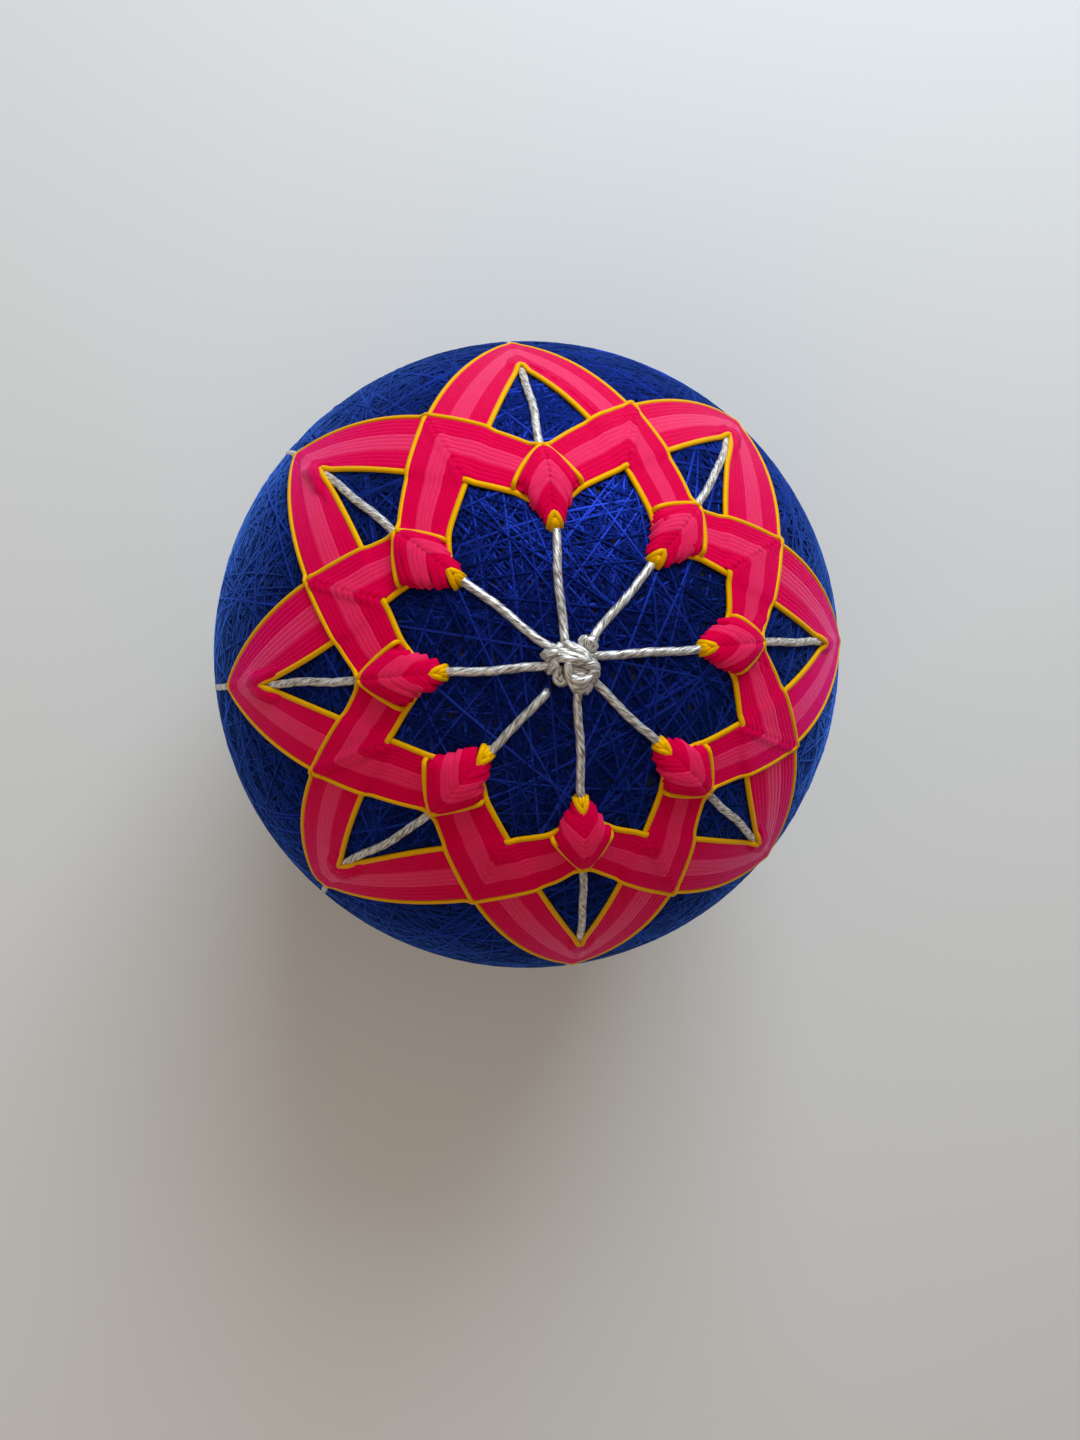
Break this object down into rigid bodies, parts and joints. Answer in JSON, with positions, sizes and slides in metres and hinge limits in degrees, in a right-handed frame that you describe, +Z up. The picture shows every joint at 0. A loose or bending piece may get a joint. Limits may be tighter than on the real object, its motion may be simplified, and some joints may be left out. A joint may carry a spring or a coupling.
{
  "type": "temari ball",
  "caption": "Thread-wound decorative ball with silver guide threads knotted at the top and interlaced stitched stars in yellow, crimson and pink round it, resting on a small flat spot.",
  "frame": {"origin": "centre of the small flat spot that the ball rests on", "axes": "+Z up through the silver knot at the top pole, +Y towards an outer point of the first star, +X a quarter turn clockwise from it seen from above"},
  "size_m": [0.0766, 0.0766, 0.0773],
  "materials": {
    "blue_wrap": "matte wound sewing thread",
    "silver": "twisted metallic cord",
    "yellow": "glossy twisted cotton",
    "crimson": "glossy twisted cotton",
    "pink": "glossy twisted cotton"
  },
  "bodies": {
    "root": {"wound_ball": "blue_wrap", "guide_threads": "silver", "inner_yellow_a": "yellow", "inner_yellow_b": "yellow", "inner_crimson_a": "crimson", "inner_crimson_b": "crimson", "pink_a": "pink", "pink_b": "pink", "outer_crimson_a": "crimson", "outer_crimson_b": "crimson", "outer_yellow_a": "yellow", "outer_yellow_b": "yellow"}
  },
  "joints": []
}
